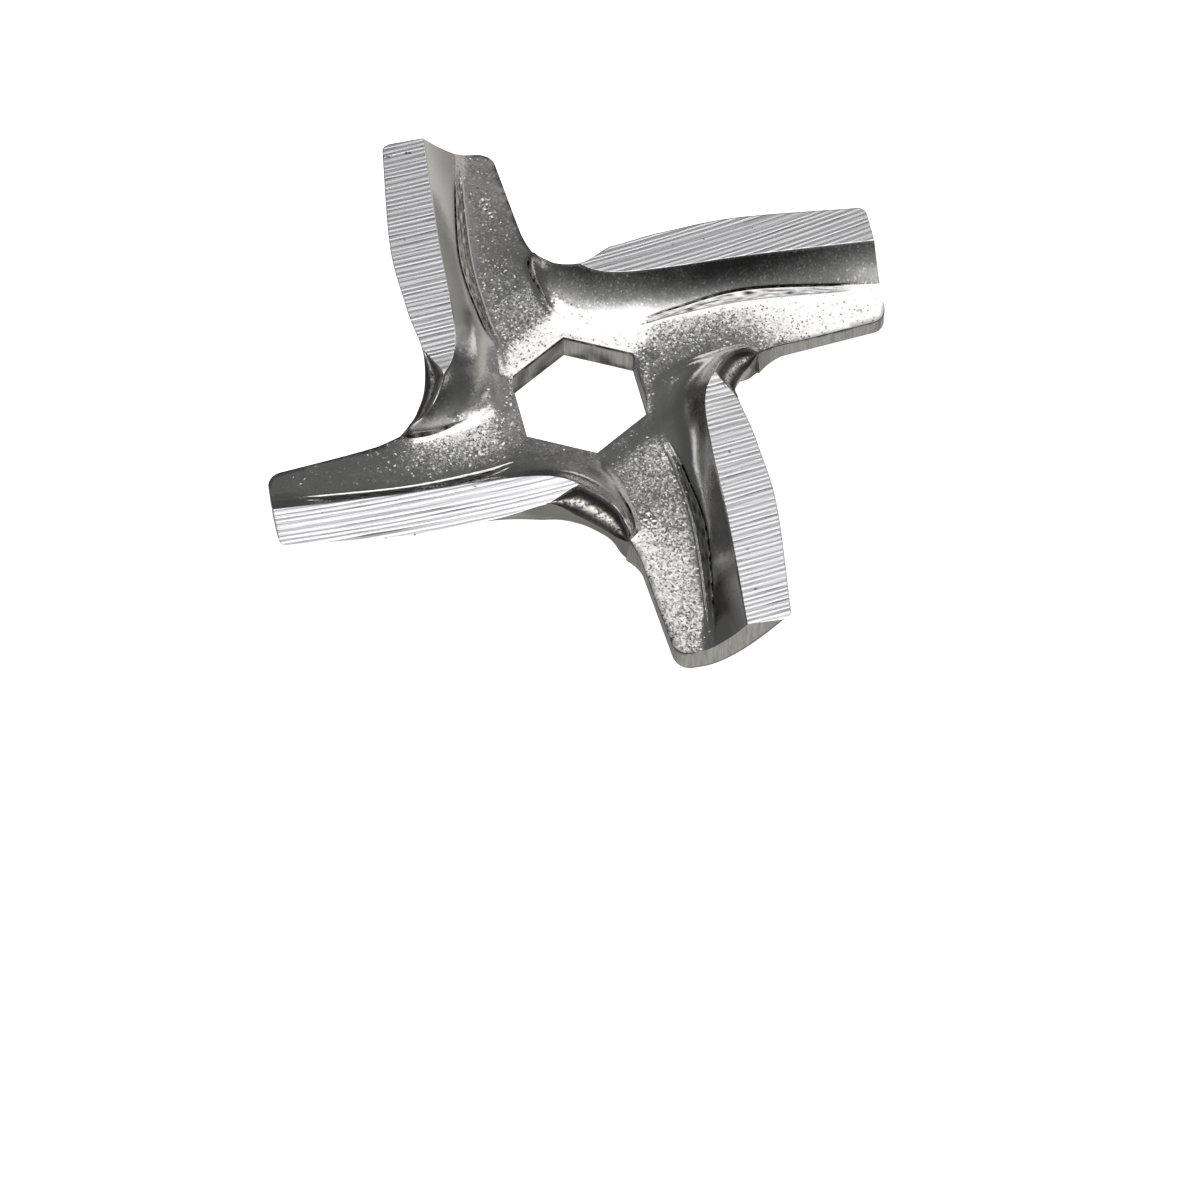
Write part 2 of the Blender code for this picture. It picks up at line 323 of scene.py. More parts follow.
def addBand(ring, s):
    # the flat's last strip, rising softly to the bend where no crease is pressed
    for k in range(parts["strip"]):
        t = k / parts["strip"]
        spot = s.edge - s.way * s.width * (1 - t)
        lip = s.lip * math.exp(-((1 - t) * s.width / knife["lipWidth"]) ** 2)
        ring.put(*spot, knife["sheet"] + s.soft * t * t + lip, 1,
                 max(s.shine * t, knife["stripBurnish"] * s.crease * t))
    # the band up to the bend, one tool edge lower, with dark drag marks
    band = math.hypot(*(s.bend[:2] - s.edge))
    for k in range(parts["band"]):
        t = (k / parts["band"]) ** bandCrowding
        spot = s.edge + (s.bend[:2] - s.edge) * t
        step = knife["edgeStep"] * (1 - math.exp(-t * band / knife["stepWidth"]))
        lip = s.lip * math.exp(-(t * band / knife["lipWidth"]) ** 2)
        drag = ragged(0.5, 0.95, s.bend[0] * fineness["drag"], t * 6, s.arm * 7)
        height = knife["sheet"] + s.soft + (s.bend[2] - knife["sheet"]) * t + lip - step * s.crease
        ring.put(*spot, height, -1, max(s.shine, knife["bandBurnish"] * s.crease),
                 min(1, max(0, drag)) * s.crease * smooth(t, 0.05, 0.3))


def addWall(ring, s):
    # the wall from the bend to the ground face, with the groove at its foot; returns its top
    top = knife["height"]
    ds, zs = bentLine(s.run, s.upper[2] - s.bend[2], s.slopes[0], s.slopes[1], curve)
    foot = s.soft - knife["edgeStep"] * s.crease
    zs = zs + s.bend[2] + foot * np.exp(-ds / knife["wallLiftReach"])
    reach = s.run
    if s.upper[2] > top:
        cut = int(np.argmax(zs >= top))
        reach = ds[cut - 1] + (top - zs[cut - 1]) / (zs[cut] - zs[cut - 1]) * (ds[cut] - ds[cut - 1])

    def share(d):
        calm = math.exp(-(d / knife["softLiftReach"]) ** 2) * fade(d, 0.3 * reach, reach)
        return -s.crease * math.exp(-d / knife["wallLiftReach"]) - (1 - s.crease) * calm

    # painted shade: the groove is darkened, raggedly, as shade in the crease, and the darkening runs a little
    # way up the wall
    dirt = ragged(0.75, 0.9, s.bend[0] * fineness["dirt"], s.bend[1] * fineness["dirt"], s.arm * 3)
    wide = (knife["grooveWidth"] + knife["rootGrooveWidth"] * s.riser) * min(1, reach / knife["footRun"])
    for k in range(parts["groove"]):
        t = k / parts["groove"]
        d = wide * t
        depth = knife["grooveDepth"] * s.grooved * math.sin(math.pi * min(1, t * 1.15)) ** 0.7
        ring.put(*(s.bend[:2] + s.way * d), np.interp(d, ds, zs) - depth, share(d), s.shine,
                 s.grooved * min(1, max(0.25, dirt)) * (t > 0))
    start = max(s.shine, s.polish - knife["footDullness"])
    for k in range(parts["wall"]):
        d = wide + (reach - wide) * (k / parts["wall"]) ** wallCrowding
        ring.put(*(s.bend[:2] + s.way * d), np.interp(d, ds, zs), share(d),
                 start + (s.polish - start) * smooth(d, wide, wide + knife["footRun"]),
                 0.5 * s.grooved * math.exp(-(d - wide) / knife["grooveShadeReach"]))
    return np.array([*(s.bend[:2] + s.way * reach), np.interp(reach, ds, zs) if s.upper[2] <= top else top])


def undersideLine(s, lift):
    # from the back out to the sheared edge, lifted along its normal where the tip is rolled
    run = math.hypot(*(s.lower[:2] - s.back))
    if run > 0.02:
        ds, zs = bentLine(run, s.lower[2], knife["backSlope"], s.slopes[2], curve)
        line = np.column_stack([s.back + (s.lower[:2] - s.back) * (ds / run)[:, None], zs])
    else:
        line = np.column_stack([np.tile(s.back, (len(curve), 1)), s.lower[2] * curve])
    if lift > 0:
        ahead = np.gradient(line, axis=0)
        normal = np.column_stack([0 * curve, -ahead[:, 2], ahead[:, 1]])
        normal /= np.linalg.norm(normal, axis=1)[:, None]
        normal[0] = (0, 0, 1)
        line = line + normal * lift
    return line


def addSheared(ring, s, upper, lower):
    # the sheared edge, torn open along a streak at the root
    root = fade(s.bend[0], *ranges["tornEndsX"])
    for k in range(parts["sheared"]):
        v = (k / (parts["sheared"] - 1)) ** shearedCrowding
        spot = upper + (lower - upper) * v
        streak = (math.exp(-((v - streakMiddle) / streakWidth) ** 2) * root
                  * fade(s.bend[1], *ranges["streakEndsY"]))
        rough = ragged(0, 1, s.bend[0] * fineness["tear"], s.bend[1] * fineness["tear"], v * 4 + s.arm * 9)
        pit = (streak * (knife["tearDepth"] + knife["tearRagged"] * max(rough, -0.2))
               + knife["shearedHollow"] * root * math.sin(math.pi * v))
        # painted shade: near the root the sheared edge is darkened above and below the torn streak
        grime = np.interp(v, *zip(*shearedGrime)) * root
        ring.put(spot[0] - s.way[0] * pit, spot[1] - s.way[1] * pit, spot[2], 0, 0.3, grime, streak)


def knifeRing(row, lift, arm):
    # one section across a flange, from the flat over the ground face to the back
    s, ring, top = sectionOf(row, arm), Ring(), knife["height"]
    addBand(ring, s)
    inner = addWall(ring, s)
    line = undersideLine(s, lift)
    # what the grinding wheel left of the edge
    if s.lower[2] > top:
        cut = int(np.argmax(line[:, 2] >= top))
        share = (top - line[cut - 1, 2]) / (line[cut, 2] - line[cut - 1, 2])
        outerTop = outerLow = line[cut - 1] + share * (line[cut] - line[cut - 1])
        line = np.vstack([line[:cut], outerLow])
    elif s.upper[2] > top:
        outerTop = s.upper + (s.upper[2] - top) / (s.upper[2] - s.lower[2]) * (s.lower - s.upper)
        outerLow = s.lower
    else:
        outerTop, outerLow = inner, s.lower
    # corners worn a little round
    wear = knife["cornerWear"]
    last = np.array(ring.points[-1])
    width = np.linalg.norm(outerTop - inner)
    if width > knife["leastGround"]:
        a, m, b = rounded(last, inner, outerTop, knife["innerWear"] * wear)
        c, n, d = rounded(inner, outerTop, outerLow if s.lower[2] <= top else line[-6], wear)
        fall = knife["groundFall"][arm] * min(1, width / 2) * np.array([0, 0, 1])
        c, n, d, outerLow = c - fall, n - fall, d - fall, outerLow - fall * (s.lower[2] > top)
        face = [m, *(b + (c - b) * t for t in (0, 0.02, 0.25, 0.5, 0.75, 0.98, 1)), n]
    else:
        a, m, d = rounded(last, inner, outerLow, knife["plainWear"] * wear)
        face = [m] * parts["ground"]
    ring.put(*a, 0, s.polish)
    for spot in face:
        ring.put(*spot)
    addSheared(ring, s, d, outerLow)
    index = np.arange(len(line))
    for k in np.linspace(len(line) - 1, 0, parts["under"] + 1)[1:]:
        ring.put(*(np.interp(k, index, line[:, i]) for i in range(3)), 0, 0.6)
    return ring.points, ring.marks


def ringRegions():
    # the material of each step between two points of a ring: flat, ground, sheared, back
    pressed = parts["strip"] + parts["band"] + parts["groove"] + parts["wall"]
    return [0] * (pressed + 1) + [1] * (parts["ground"] - 1) + [2] * parts["sheared"] + [3] * parts["under"]


def trailingPlaces():
    # the plain edge of an arm from root to tip: point, inward direction, roll and flare
    root, start = np.array(knife["trailingRoot"]), np.array(knife["straightStart"])
    tip = np.array([knife["tipReach"], knife["trailingAtTip"]])
    lean = math.atan2(tip[1] - start[1], tip[0] - start[0])
    r = knife["trailingCorner"]
    centre = np.array([tip[0] - r, tip[1] + r * (1 / math.cos(lean) - math.tan(lean))])
    straight = np.array([math.cos(lean), math.sin(lean)])
    inward = np.array([-math.sin(lean), math.cos(lean)])
    slope = math.radians(knife["filletSlope"])
    knee = root + np.hypot(*(start - root)) / 2 * np.array([math.cos(slope), math.sin(slope)])
    places = []
    for k in range(filletSteps):
        u = k / filletSteps
        point = (1 - u) ** 2 * root + 2 * u * (1 - u) * knee + u ** 2 * start
        roll = knife["rolledAtRoot"] + (knife["rolledEdge"] - knife["rolledAtRoot"]) * u
        places.append((point, inward, roll, knife["rootFlare"] * (1 - u) ** 2))
    reach = float(np.dot(centre - r * inward - start, straight))
    for k in range(straightSteps):
        places.append((start + reach * k / straightSteps * straight, inward, knife["rolledEdge"], 0))
    for k in range(cornerSteps + 1):
        u = k / cornerSteps
        angle = (lean - math.pi / 2) * (1 - u)
        outward = np.array([math.cos(angle), math.sin(angle)])
        roll = knife["rolledEdge"] + (knife["rolledAtTip"] - knife["rolledEdge"]) * u
        places.append((centre + r * outward, -outward, roll, 0))
    return places


def trailingColumn(place, arm):
    # the sheared edge from the flat down to the back, with a ragged burr at its upper rim
    point, inward, roll, flare = place
    top = knife["sheet"]
    rag = ragged(0, 1, point[0] * fineness["burr"], point[1] * fineness["burr"], arm * 5.0)
    burr = knife["burr"] + knife["burrRagged"] * max(rag, 0)
    # at each height: how far inside the edge and how much darker
    rim = [0, 0.02, 0.06, 0.12]  # below the flat
    heights = [top - drop for drop in rim]
    heights += [top - rim[-1] + (roll - top + rim[-1]) * k / sideSteps for k in range(1, sideSteps + 1)]
    insides = [burr, 0.3 * burr, 0, 0.01 + 0.3 * burr] + [0.0] * sideSteps
    grimes = [0.7, 0.9, 0.5, 0.5 * (rag > 0)] + [0.0] * sideSteps
    for k in range(1, rollSteps + 1):
        turn = math.pi / 2 * k / rollSteps
        heights.append(roll * (1 - math.sin(turn)))
        insides.append(roll * (1 - math.cos(turn)))
        grimes.append(0.0)
    points, marks = [], []
    for z, inside, grime in zip(heights, insides, grimes):
        out = flare * (1 - z / top)
        points.append((*(point + (inside - out) * inward), z))
        marks.append((z / top, 0.2, grime, 0.0) if z > roll else (0, 0.5, grime, 0.0))
    return points, marks


class KnifeMesh:
    # the faces of the knife, with four marks at each point
    def __init__(self):
        self.points, self.marks, self.faces, self.regions = [], [], [], []

    def add(self, points, marks):
        start = len(self.points)
        self.points.extend(tuple(p) for p in points)
        self.marks.extend(marks)
        return list(range(start, len(self.points)))

    def face(self, corners, region):
        self.faces.append(tuple(corners))
        self.regions.append(region)

    def grid(self, lines, regions):
        for a, b in zip(lines, lines[1:]):
            for k in range(len(a) - 1):
                self.face((a[k], a[k + 1], b[k + 1], b[k]), regions[k])


def turned(points, arm):
    angle = math.radians(knife["armTurn"] + 90 * arm)
    c, s = math.cos(angle), math.sin(angle)
    return [(x * c - y * s, x * s + y * c, z) for x, y, z in points]


def insideOf(spots, ring):
    # whether each spot lies inside a closed line
    x, y = spots[:, :1], spots[:, 1:2]
    a, b = ring, np.roll(ring, -1, 0)
    drop = b[:, 1] - a[:, 1] + 1e-12
    crosses = ((a[:, 1] > y) != (b[:, 1] > y)) & (x < (b[:, 0] - a[:, 0]) * (y - a[:, 1]) / drop + a[:, 0])
    return crosses.sum(1) % 2 == 1


def fillFlat(shape, loop, hole, height, share, step, region, extra=()):
    # triangles over a flat region with a hexagonal hole, with points inside it
    outer = np.array([shape.points[i][:2] for i in loop])
    inner = np.array([shape.points[i][:2] for i in hole])
    n, m = len(outer), len(inner)
    edges = [(i, (i + 1) % n) for i in range(n)] + [(n + i, n + (i + 1) % m) for i in range(m)]
    steps = np.arange(-22, 22, step)  # a little wider than the knife
    grid = np.array([(x + step / 2 * (j % 2), y) for j, y in enumerate(steps) for x in steps] + list(extra))
    grid = grid[insideOf(grid, outer) & ~insideOf(grid, inner)]
    near = np.hypot(grid[:, None, 0] - np.append(outer[:, 0], inner[:, 0]),
                    grid[:, None, 1] - np.append(outer[:, 1], inner[:, 1])).min(1)
    spots = np.vstack([outer, inner, grid[near > 0.4 * step]])
    out = geometry.delaunay_2d_cdt([Vector(p) for p in spots], edges, [], 0, 1e-6)
    ids = []
    for spot, source in zip(out[0], out[3]):
        known = [s for s in source if s < n + m]
        ids.append((loop + hole)[known[0]] if known
                   else shape.add([(spot.x, spot.y, height)], [(share, 0.0, 0.0, 0.0)])[0])
    middles = np.array([sum((out[0][i] for i in face), Vector((0, 0))) / 3 for face in out[2]])
    for face, wanted in zip(out[2], insideOf(middles, outer) & ~insideOf(middles, inner)):
        if wanted:
            shape.face((ids[i] for i in face), region)


# small dents in the flats: arm, along, across, radius, depth
dents = [
    (1, 16.9, 3.6, 0.16, 0.035), (1, 16.5, 3.4, 0.12, 0.03), (1, 16.2, 3.55, 0.14, 0.035),
    (1, 15.8, 3.3, 0.10, 0.025), (1, 15.4, 3.2, 0.12, 0.025), (1, 14.9, 2.7, 0.09, 0.02),
    (3, 10.4, 2.6, 0.16, 0.035), (3, 10.7, 2.2, 0.12, 0.03), (3, 10.9, 2.75, 0.13, 0.03),
    (3, 11.3, 2.4, 0.10, 0.02), (0, 15.0, 2.6, 0.10, 0.04), (2, 18.6, 3.2, 0.12, 0.03),
    (2, 18.9, 3.6, 0.10, 0.02), (2, 19.3, 2.9, 0.10, 0.03),
]


def dentRise(u, v, along, across, radius, depth):
    # an uneven pit with a low rim
    r = np.hypot(u - along, v - across) / radius * (1 + 0.35 * np.sin(5 * u + 9 * v + 40 * radius))
    return depth * (0.5 * np.exp(-((r - 1.3) / 0.5) ** 2) - np.exp(-r ** 2))


def gapsToFlanges(x, y, edgeLines, beyond):
    # how far each point of the flats is from the edge of each arm's flat, 0 past the nearest
    gaps = np.full((4, len(x)), 1e9)
    chunk = 40  # points of the edge at a time, to spare memory
    for arm, line in enumerate(edgeLines):
        for start in range(0, len(line), chunk):
            part = np.array(line[start:start + chunk])
            far = np.hypot(x[:, None] - part[:, 0], y[:, None] - part[:, 1]).min(1)
            gaps[arm] = np.minimum(gaps[arm], far)
    gaps[gaps[:, beyond].argmin(0), beyond] = 0
    return gaps


def shapeFlats(shape, edgeLines):
    # gives the flats their fall, their lift towards the flanges, waviness and dents
    spots = np.array(shape.points)
    shares = np.array(shape.marks)[:, 0]
    high = np.where(shares != 0)[0]
    x, y = spots[high, 0], spots[high, 1]
    gaps = gapsToFlanges(x, y, edgeLines, np.where(shares[high] < 0)[0])
    sin60 = 0.866
    fromHole = np.max([abs(x), abs(x / 2 + y * sin60), abs(x / 2 - y * sin60)], 0) - knife["hexagonFlats"] / 2
    lift = knife["flatLift"] * np.exp(-gaps / knife["liftReach"]).sum(0)
    rise = lift * smooth(fromHole, *ranges["liftFromHole"])
    along = [row[0] for row in armRows[::-1]]
    flatEdge = [bend - band for _, bend, band, *_ in armRows[::-1]]
    for arm in range(4):
        angle = -math.radians(knife["armTurn"] + 90 * arm)
        u = x * math.cos(angle) - y * math.sin(angle)
        v = x * math.sin(angle) + y * math.cos(angle)
        leading = np.interp(u, along, flatEdge)
        trailing = np.interp(u, [knife["straightStart"][0], along[-1]],
                             [knife["straightStart"][1], knife["trailingAtTip"]])
        fall = np.clip((leading - v) / (leading - trailing), 0, 1.2) * smooth(u, *ranges["fallX"])
        toMiddle, toTip = knife["flatBow"][arm]
        bow = toMiddle * smooth(u, *ranges["bowInnerX"]) + toTip * smooth(u, *ranges["bowOuterX"])
        rise += (bow - knife["flatFall"][arm] * fall) * (v > 0)
        for which, *dent in dents:
            if which == arm:
                rise += dentRise(u, v, *dent)
    wave = np.array([ragged(0, 1, a * fineness["wave"], b * fineness["wave"], 3.0) for a, b in zip(x, y)])
    spots[high, 2] += abs(shares[high]) * (rise + knife["waviness"] * wave)
    shape.points = [tuple(p) for p in spots]


def burrShade(p, z):
    # painted shade: a dark, ragged line under the rim of the hexagon, and darker towards the back; random
    # blotches over the rest of the wall
    rag = ragged(0, 1, p[0] * fineness["holeRimShade"], p[1] * fineness["holeRimShade"], 8.0)
    blotch = ragged(0, 1, p[0] * fineness["holeBlotch"], p[1] * fineness["holeBlotch"], z * 0.8)
    low, high = knife["holeRimShade"]
    if z > low:
        return min(1, max(0, 0.85 + 1.3 * rag)) * (z < high)
    return min(0.8, max(0, 0.15 + blotch + 0.45 * smooth(0.7 + 0.5 * rag - z, 0, 0.5)))


def addArm(shape, rows, lifts, places, arm):
    # one arm's plain edge and flange; returns both, and the line where its flat ends
    columns = [trailingColumn(place, arm) for place in places]
    ahead = trailingColumn(places[0], (arm + 1) % 4)
    rings = [knifeRing(row, lift, arm) for row, lift in zip(rows[:-1], lifts)]
    # the flange runs out on the first column of the next arm's edge
    count, below = len(rings[0][0]), parts["under"] + 1
    picks = [round(k * (len(ahead[0]) - 1) / (below - 1)) for k in range(below)]
    picks = [0] * (count - below) + picks
    rings.append(([(-ahead[0][i][1], ahead[0][i][0], ahead[0][i][2]) for i in picks],
                  [ahead[1][i] for i in picks]))
    flatEnd = parts["strip"]
    edgeLine = [p[:2] for ring in rings[:-1] for p in turned([ring[0][flatEnd]], arm)]
    edge = [shape.add(turned(points, arm), marks) for points, marks in columns]
    flange = [shape.add(turned(points, arm), marks) for points, marks in rings]
    shape.grid(flange, ringRegions())
    shape.grid(edge, [2] * (len(edge[0]) - 1))
    # the sheared tip, and the roll below it
    corner = len(edge[0]) - rollSteps
    shape.face([*edge[-1][:corner][::-1], *flange[0]], 2)
    for k in range(rollSteps):
        shape.face((edge[-1][corner - 1 + k], edge[-1][corner + k], flange[k + 1][-1], flange[k][-1]), 3)
    return edge, flange, edgeLine


def addHole(shape):
    # the punched hexagon, with its corners on the Y axis; returns its loops from the back up
    radius = knife["hexagonFlats"] / math.sqrt(3)
    corners = [(radius * math.cos(math.radians(30 + 60 * k)), radius * math.sin(math.radians(30 + 60 * k)))
               for k in range(6)]
    around = [np.array(a) + (np.array(b) - np.array(a)) * i / hexagonSteps
              for a, b in zip(corners, corners[1:] + corners[:1]) for i in range(hexagonSteps)]
    # how much wider than the hexagon, and the height
    levels = [(0.05, 0.0), (0.015, 0.015), (0.0, 0.05)]
    levels += [(0.0, 0.05 + 1.9 * k / 10) for k in range(1, 10)]
    levels += [(0.0, 1.82), (0.0, 1.9), (0.0, 1.95), (0.02, 1.985), (0.07, 2.0)]
    rows = [shape.add([(*(p * (1 + out / radius)), z) for p in around],
                      [(z / knife["sheet"], 0.3, burrShade(p, z), 0.0) for p in around]) for out, z in levels]
    shape.grid([row + row[:1] for row in rows], [2] * len(around))
    return rows


def tidyLoop(shape, loop):
    # leaves out points that lie on the one before
    closest = 0.008
    kept = []
    for i in loop:
        if not kept or math.dist(shape.points[i], shape.points[kept[-1]]) > closest:
            kept.append(i)
    if math.dist(shape.points[kept[0]], shape.points[kept[-1]]) < closest:
        kept.pop()
    return kept


def buildKnife():
    shape = KnifeMesh()
    rows, lifts = splineRows(knifeKnots())
    places = trailingPlaces()
    topLoop, backLoop, edgeLines = [], [], []
    for arm in range(4):
        edge, flange, edgeLine = addArm(shape, rows, lifts, places, arm)
        edgeLines.append(edgeLine)
        topLoop += [column[0] for column in edge] + [ring[0] for ring in flange]
        backLoop += [column[-1] for column in edge] + [ring[-1] for ring in flange[rollSteps:]]
    hole = addHole(shape)
    fine = []
    for arm, along, across, *_ in dents:
        around = [(along + dentGrid * i, across + dentGrid * j, 0)
                  for i in range(-6, 7) for j in range(-6, 7)]
        fine += [p[:2] for p in turned(around, arm)]
    fillFlat(shape, tidyLoop(shape, topLoop), hole[-1], knife["sheet"], 1.0, flatGrid, 0, fine)
    fillFlat(shape, tidyLoop(shape, backLoop), hole[0], 0.0, 0.0, backGrid, 3)
    shapeFlats(shape, edgeLines)
    return shape


def knifeObject(shape, materials):
    data = bpy.data.meshes.new("knife")
    data.from_pydata([tuple(c * mm for c in p) for p in shape.points], [], shape.faces)
    for k, name in enumerate(("burnish", "grime", "tear"), 1):
        layer = data.attributes.new(name, "FLOAT", "POINT")
        layer.data.foreach_set("value", [float(mark[k]) for mark in shape.marks])
    for material in materials:
        data.materials.append(material)
    data.polygons.foreach_set("material_index", shape.regions)
    data.polygons.foreach_set("use_smooth", [True] * len(shape.faces))
    mesh = bmesh.new()
    mesh.from_mesh(data)
    bmesh.ops.remove_doubles(mesh, verts=mesh.verts, dist=mergeGap * mm)
    bmesh.ops.dissolve_degenerate(mesh, edges=mesh.edges, dist=leastEdge * mm)
    bmesh.ops.recalc_face_normals(mesh, faces=mesh.faces)
    mesh.to_mesh(data)
    mesh.free()
    data.set_sharp_from_angle(angle=math.radians(sharpAngle))
    piece = bpy.data.objects.new("knife", data)
    bpy.context.scene.collection.objects.link(piece)
    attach(piece, "root")
    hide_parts("grinder_knife")
    return piece


print("materials")


def newMaterial(name):
    # a metal whose patterns are placed in millimetres on the knife
    material = bpy.data.materials.new(name)
    material.use_nodes = True
    tree = material.node_tree
    shader = tree.nodes["Principled BSDF"]
    shader.inputs["Metallic"].default_value = 1.0
    where = addNode(tree, "ShaderNodeTexCoord")
    toMm = addNode(tree, "ShaderNodeVectorMath", {"operation": "SCALE"}, {"Scale": 1 / mm},
                   {0: where.outputs["Object"]})
    return material, tree, shader, toMm.outputs[0]


def readMark(tree, name):
    return addNode(tree, "ShaderNodeAttribute", {"attribute_name": name}).outputs["Fac"]


def blend(tree, factor, first, second):
    # mixes two colours by a factor; a colour is a hex code or another node's output
    node = addNode(tree, "ShaderNodeMix", {"data_type": "RGBA"})
    for socket, value in ((0, factor), (6, first), (7, second)):
        if isinstance(value, str):
            node.inputs[socket].default_value = linearFromHex(value)
        else:
            tree.links.new(value, node.inputs[socket])
    return node.outputs[2]


def spread(tree, source, low, high, newLow, newHigh):
    # brings a range of values to another
    node = addNode(tree, "ShaderNodeMapRange", {}, {1: low, 2: high, 3: newLow, 4: newHigh}, {0: source})
    return node.outputs[0]


pickled = {
    "colour": "#cdcccb",
    "pits": "#93908b",
    # darkening colour: for drag marks, and for painted shade in the groove
    "grime": "#14120f",
    "crystal": 0.115,  # mm across
    "calmTilt": 0.065,  # most crystals lie nearly flat, a few stand out
    "crystalTilt": 0.36,
    "rareness": 4.0,
    "burnishedTilt": 0.06,  # share of the tilt that burnishing leaves
    "waveFineness": 2.2,  # per mm
    "waveDepth": 0.01,
    "waveStrength": 0.35,
    "patchFineness": 0.9,  # per mm
    "patchRoughness": 0.04,
    "roughFlat": 0.185,
    "roughBurnished": 0.155,
}


def pickledSteel():
    # bright pickled sheet steel: a fine crystalline sparkle, smoothed where the tool pressed
    material, tree, shader, place = newMaterial("pickledSheetSteel")
    burnish = readMark(tree, "burnish")
    crystals = addNode(tree, "ShaderNodeTexVoronoi", {}, {"Scale": 1 / pickled["crystal"]}, {"Vector": place})
    patches = addNode(tree, "ShaderNodeTexNoise", {}, {"Scale": pickled["patchFineness"], "Detail": 2},
                      {"Vector": place}).outputs["Fac"]
    tone = addNode(tree, "ShaderNodeSeparateColor", {}, {}, {0: crystals.outputs["Color"]})
    lean = addNode(tree, "ShaderNodeVectorMath", {"operation": "SUBTRACT"}, {1: (0.5, 0.5, 0.5)},
                   {0: crystals.outputs["Color"]}).outputs[0]
    rare = addNode(tree, "ShaderNodeMath", {"operation": "POWER"}, {1: pickled["rareness"]},
                   {0: tone.outputs["Blue"]}).outputs[0]
    bold = spread(tree, rare, 0.0, 1.0, pickled["calmTilt"], pickled["crystalTilt"])
    kept = spread(tree, burnish, 0.0, 1.0, 1.0, pickled["burnishedTilt"])
    amount = addNode(tree, "ShaderNodeMath", {"operation": "MULTIPLY"}, {}, {0: bold, 1: kept}).outputs[0]
    tilt = addNode(tree, "ShaderNodeVectorMath", {"operation": "SCALE"}, {},
                   {0: lean, "Scale": amount}).outputs[0]
    waves = addNode(tree, "ShaderNodeTexNoise", {}, {"Scale": pickled["waveFineness"], "Detail": 3},
                    {"Vector": place}).outputs["Fac"]
    soft = addNode(tree, "ShaderNodeBump", {},
                   {"Strength": pickled["waveStrength"], "Distance": pickled["waveDepth"] * mm},
                   {"Height": waves}).outputs[0]
    facing = addNode(tree, "ShaderNodeVectorMath", {"operation": "ADD"}, {}, {0: soft, 1: tilt}).outputs[0]
    unit = addNode(tree, "ShaderNodeVectorMath", {"operation": "NORMALIZE"}, {}, {0: facing}).outputs[0]
    tree.links.new(unit, shader.inputs["Normal"])
    # a few crystals are pits; burnishing closes them
    pits = spread(tree, tone.outputs["Green"], 0.03, 0.20, 0.3, 0.0)
    pitted = blend(tree, pits, pickled["colour"], pickled["pits"])
    even = blend(tree, burnish, pitted, pickled["colour"])
    # darkened by the point mark: dark drag marks on the band, and painted shade in the groove and at the foot
    # of the wall
    tree.links.new(blend(tree, readMark(tree, "grime"), even, pickled["grime"]), shader.inputs["Base Color"])
    rough = spread(tree, burnish, 0.0, 1.0, pickled["roughFlat"], pickled["roughBurnished"])
    uneven = spread(tree, patches, 0.3, 0.7, -pickled["patchRoughness"], pickled["patchRoughness"])
    total = addNode(tree, "ShaderNodeMath", {"operation": "ADD"}, {}, {0: rough, 1: uneven})
    tree.links.new(total.outputs[0], shader.inputs["Roughness"])
    return material


ground = {
    "colour": "#ededef",
    "deep": "#77777b",
    "roughness": 0.3,
    "lineAngle": 3.5,  # degrees from +X at the hub
    "wheelRadius": 165.0,  # mm, the lines are arcs of it
    "lineGap": 0.37,  # mm
    "lineDepth": 0.021,  # mm
    "lineStretch": 0.03,  # a line changes by this share along of what it does across
    "lineWander": 6.0,
    "fineShare": 0.7,  # of fine lines between the even ones
    "nickFineness": 1.1,  # per mm
}


def groundSteel():
    # ground steel: long parallel arcs of the wheel, deeper ones among fine ones
    material, tree, shader, place = newMaterial("groundSteel")
    shader.inputs["Roughness"].default_value = ground["roughness"]
    level = addNode(tree, "ShaderNodeMapping", {}, {"Rotation": (0, 0, -math.radians(ground["lineAngle"]))},
                    {"Vector": place}).outputs[0]
    axes = addNode(tree, "ShaderNodeSeparateXYZ", {}, {}, {0: level}).outputs
    square = addNode(tree, "ShaderNodeMath", {"operation": "MULTIPLY"}, {},
                     {0: axes["X"], 1: axes["X"]}).outputs[0]
    arc = addNode(tree, "ShaderNodeMath", {"operation": "MULTIPLY_ADD"}, {1: -0.5 / ground["wheelRadius"]},
                  {0: square, 2: axes["Y"]}).outputs[0]
    along = addNode(tree, "ShaderNodeMath", {"operation": "MULTIPLY"}, {1: ground["lineStretch"]},
                    {0: axes["X"]}).outputs[0]
    lined = addNode(tree, "ShaderNodeCombineXYZ", {}, {}, {0: along, 1: arc, 2: axes["Z"]}).outputs[0]
    bandAtOne = 0.314  # mm from band to band of a wave texture at scale 1
    even = addNode(tree, "ShaderNodeTexWave", {"bands_direction": "Y"},
                   {"Scale": bandAtOne / ground["lineGap"], "Distortion": ground["lineWander"],
                    "Detail": 2, "Detail Scale": 0.8}, {"Vector": lined}).outputs["Fac"]
    fine = addNode(tree, "ShaderNodeTexNoise", {},
                   {"Scale": 2 / ground["lineGap"], "Detail": 3, "Roughness": 0.6},
                   {"Vector": lined}).outputs["Fac"]
    both = addNode(tree, "ShaderNodeMix", {}, {0: ground["fineShare"]}, {2: even, 3: fine}).outputs[0]
    nicks = addNode(tree, "ShaderNodeTexNoise", {}, {"Scale": ground["nickFineness"], "Detail": 4},
                    {"Vector": place}).outputs["Fac"]
    lit = blend(tree, spread(tree, both, 0.24, 0.34, 1.0, 0.0), ground["colour"], ground["deep"])
    nicked = blend(tree, spread(tree, nicks, 0.70, 0.74, 0.0, 1.0), lit, ground["deep"])
    tree.links.new(nicked, shader.inputs["Base Color"])
    bump = addNode(tree, "ShaderNodeBump", {}, {"Strength": 1.0, "Distance": ground["lineDepth"] * mm},
                   {"Height": both})
    tree.links.new(bump.outputs[0], shader.inputs["Normal"])
    return material


